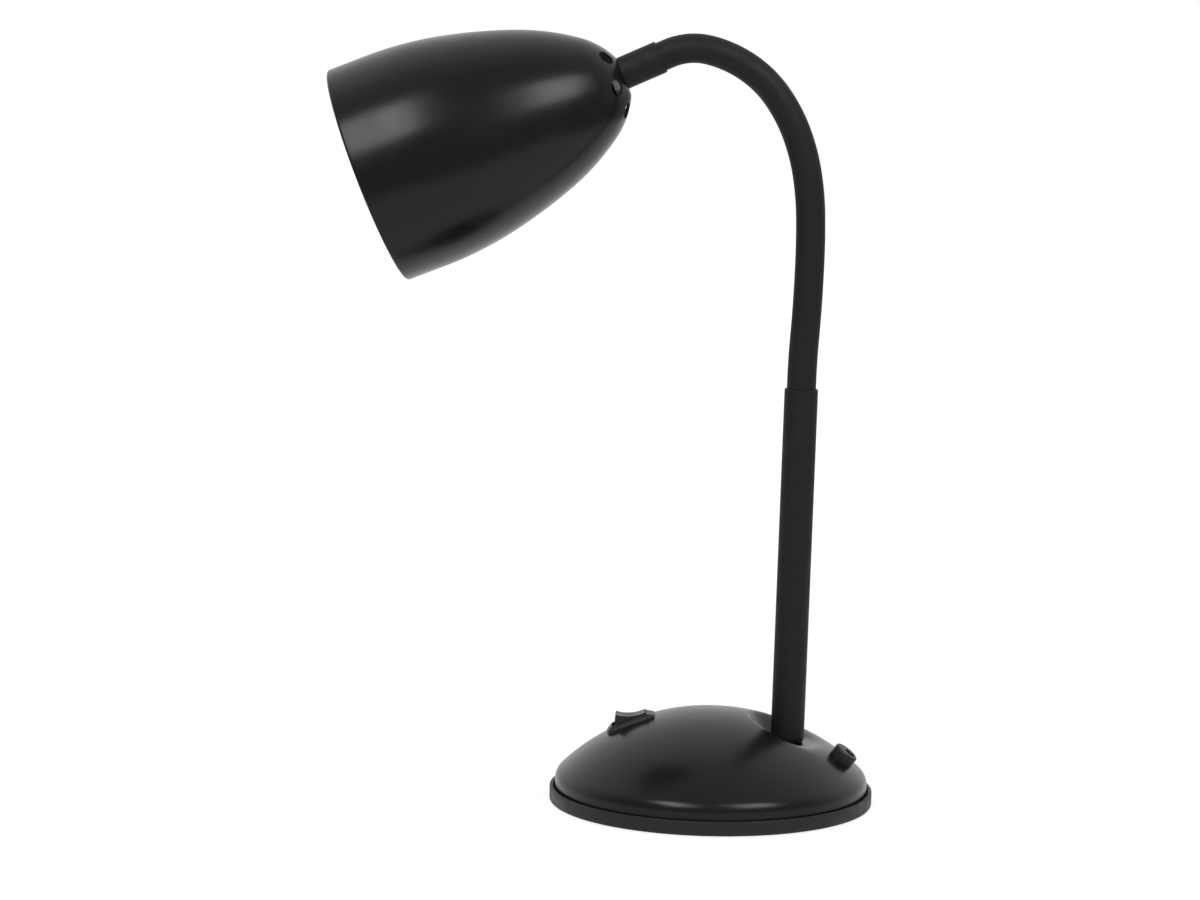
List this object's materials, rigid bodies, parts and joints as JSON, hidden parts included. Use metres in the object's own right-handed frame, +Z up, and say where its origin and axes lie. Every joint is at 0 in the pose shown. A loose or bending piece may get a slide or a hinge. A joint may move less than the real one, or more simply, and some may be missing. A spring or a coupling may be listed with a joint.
{
  "type": "desk lamp",
  "caption": "Desk lamp with a round domed base, straight stem, bendable gooseneck, bell-shaped shade and a rocker switch on the base.",
  "frame": {"origin": "centre of the round base, at the height of the table it stands on", "axes": "+Z up, the shade hangs over -X, the stem and the cord gland stand towards +X, the arm lies in the XZ plane"},
  "size_m": [0.2739, 0.16, 0.3814],
  "materials": {
    "black_lacquer": "satin",
    "black_cover": "matte",
    "black_plastic": "matte",
    "switch_plastic": "satin",
    "foot_rubber": "matte",
    "cast_ballast": "matte",
    "zinc_steel": "satin",
    "hose_steel": "satin",
    "brass": "satin",
    "bulb_aluminium": "satin",
    "white_plastic": "satin",
    "lead_sheath": "satin",
    "wire_insulation": "satin",
    "ceramic": "satin",
    "opal_glass": "satin"
  },
  "bodies": {
    "base": {"base_tray": "black_plastic", "rubber_feet": "foot_rubber", "ballast_disc": "cast_ballast", "ballast_screws": "zinc_steel", "base_dome": "black_lacquer", "dome_posts": "zinc_steel", "tray_screws": "zinc_steel", "cord_gland": "switch_plastic", "terminal_block": "white_plastic", "terminal_screws": "brass", "switch_wires": "wire_insulation", "switch_housing": "switch_plastic", "switch_terminals": "brass", "stem_tube": "zinc_steel", "stem_cover": "black_cover", "stem_washer": "zinc_steel", "stem_nut": "zinc_steel", "neck_base_plug": "zinc_steel", "mains_lead": "lead_sheath", "neck_cover_foot": "black_cover"},
    "neck_1": {"neck_hose_1": "hose_steel", "neck_cover_1": "black_cover"},
    "neck_2": {"neck_hose_2": "hose_steel", "neck_cover_2": "black_cover"},
    "neck_3": {"neck_hose_3": "hose_steel", "neck_cover_3": "black_cover"},
    "neck_4": {"neck_hose_4": "hose_steel", "neck_cover_4": "black_cover"},
    "neck_5": {"neck_hose_5": "hose_steel", "neck_cover_5": "black_cover"},
    "neck_6": {"neck_hose_6": "hose_steel", "neck_cover_6": "black_cover"},
    "neck_7": {"neck_hose_7": "hose_steel", "neck_cover_7": "black_cover"},
    "neck_8": {"neck_hose_8": "hose_steel", "neck_cover_8": "black_cover"},
    "neck_9": {"neck_hose_9": "hose_steel", "neck_cover_9": "black_cover"},
    "neck_10": {"neck_hose_10": "hose_steel", "neck_cover_10": "black_cover"},
    "head": {"neck_cover_head": "black_cover", "neck_end_ferrule": "zinc_steel", "neck_cuff": "black_cover", "shade": "black_lacquer", "shade_washer": "zinc_steel", "shade_nut": "zinc_steel", "lampholder_cap": "black_plastic", "lampholder_insert": "ceramic", "lampholder_shell": "brass", "lampholder_contact": "brass", "lampholder_tube": "black_plastic", "bulb_base": "bulb_aluminium", "bulb_glass": "opal_glass"},
    "rocker": {"switch_rocker": "switch_plastic", "switch_plunger": "white_plastic", "switch_spring": "zinc_steel"},
    "contact": {"switch_contact": "brass"}
  },
  "joints": [
    {"name": "lower_bend", "type": "hinge", "parent": "base", "child": "neck_1", "pos_m": [0.04049, 0, 0.21227], "axis": [0, -1, 0], "range_deg": [-20, 20], "deforming": ["neck_cover_foot", "mains_lead"]},
    {"name": "sway_low", "type": "hinge", "parent": "neck_1", "child": "neck_2", "pos_m": [0.04136, 0, 0.23265], "axis": [0.9976, 0, -0.0689], "range_deg": [-20, 20], "deforming": ["neck_cover_1"]},
    {"name": "lower_bend_2", "type": "hinge", "parent": "neck_2", "child": "neck_3", "pos_m": [0.0425, 0, 0.25302], "axis": [0, -1, 0], "range_deg": [-20, 20], "deforming": ["neck_cover_2"]},
    {"name": "sway_high", "type": "hinge", "parent": "neck_3", "child": "neck_4", "pos_m": [0.0431, 0, 0.27341], "axis": [0.9999, 0, -0.0166], "range_deg": [-20, 20], "deforming": ["neck_cover_3"]},
    {"name": "upper_bend_1", "type": "hinge", "parent": "neck_4", "child": "neck_5", "pos_m": [0.04291, 0, 0.29381], "axis": [0, -1, 0], "range_deg": [-5.5, 1.92], "deforming": ["neck_cover_4"]},
    {"name": "upper_bend_2", "type": "hinge", "parent": "neck_5", "child": "neck_6", "pos_m": [0.04076, 0, 0.31408], "axis": [0, -1, 0], "range_deg": [-9.75, 3.39], "deforming": ["neck_cover_5"]},
    {"name": "upper_bend_3", "type": "hinge", "parent": "neck_6", "child": "neck_7", "pos_m": [0.03522, 0, 0.33367], "axis": [0, -1, 0], "range_deg": [-13, 4.52], "deforming": ["neck_cover_6"]},
    {"name": "upper_bend_4", "type": "hinge", "parent": "neck_7", "child": "neck_8", "pos_m": [0.02541, 0, 0.3515], "axis": [0, -1, 0], "range_deg": [-17.75, 6.18], "deforming": ["neck_cover_7"]},
    {"name": "upper_bend_5", "type": "hinge", "parent": "neck_8", "child": "neck_9", "pos_m": [0.01069, 0, 0.36545], "axis": [0, -1, 0], "range_deg": [-20.5, 7.13], "deforming": ["neck_cover_8"]},
    {"name": "upper_bend_6", "type": "hinge", "parent": "neck_9", "child": "neck_10", "pos_m": [-0.008, 0, 0.37337], "axis": [0, -1, 0], "range_deg": [-28.75, 10], "deforming": ["neck_cover_9"]},
    {"name": "upper_bend_7", "type": "hinge", "parent": "neck_10", "child": "head", "pos_m": [-0.02794, 0, 0.37134], "axis": [0, -1, 0], "range_deg": [-18.75, 6.52], "deforming": ["neck_cover_10", "neck_cover_head"]},
    {"name": "rocker_tilt", "type": "hinge", "parent": "base", "child": "rocker", "pos_m": [-0.03983, 0, 0.03831], "axis": [0, -1, 0], "range_deg": [0, 32]},
    {"name": "contact_tilt", "type": "hinge", "parent": "base", "child": "contact", "pos_m": [-0.03609, 0, 0.02898], "axis": [0, -1, 0], "range_deg": [-12, 0]}
  ],
  "couplings": [
    {"joint": "lower_bend_2", "follows": "lower_bend", "ratio": 1},
    {"joint": "sway_high", "follows": "sway_low", "ratio": 1},
    {"joint": "upper_bend_1", "follows": "upper_bend_6", "ratio": 0.1913},
    {"joint": "upper_bend_2", "follows": "upper_bend_6", "ratio": 0.33913},
    {"joint": "upper_bend_3", "follows": "upper_bend_6", "ratio": 0.45217},
    {"joint": "upper_bend_4", "follows": "upper_bend_6", "ratio": 0.61739},
    {"joint": "upper_bend_5", "follows": "upper_bend_6", "ratio": 0.71304},
    {"joint": "upper_bend_7", "follows": "upper_bend_6", "ratio": 0.65217},
    {"joint": "contact_tilt", "follows": "rocker_tilt", "ratio": -0.375}
  ]
}
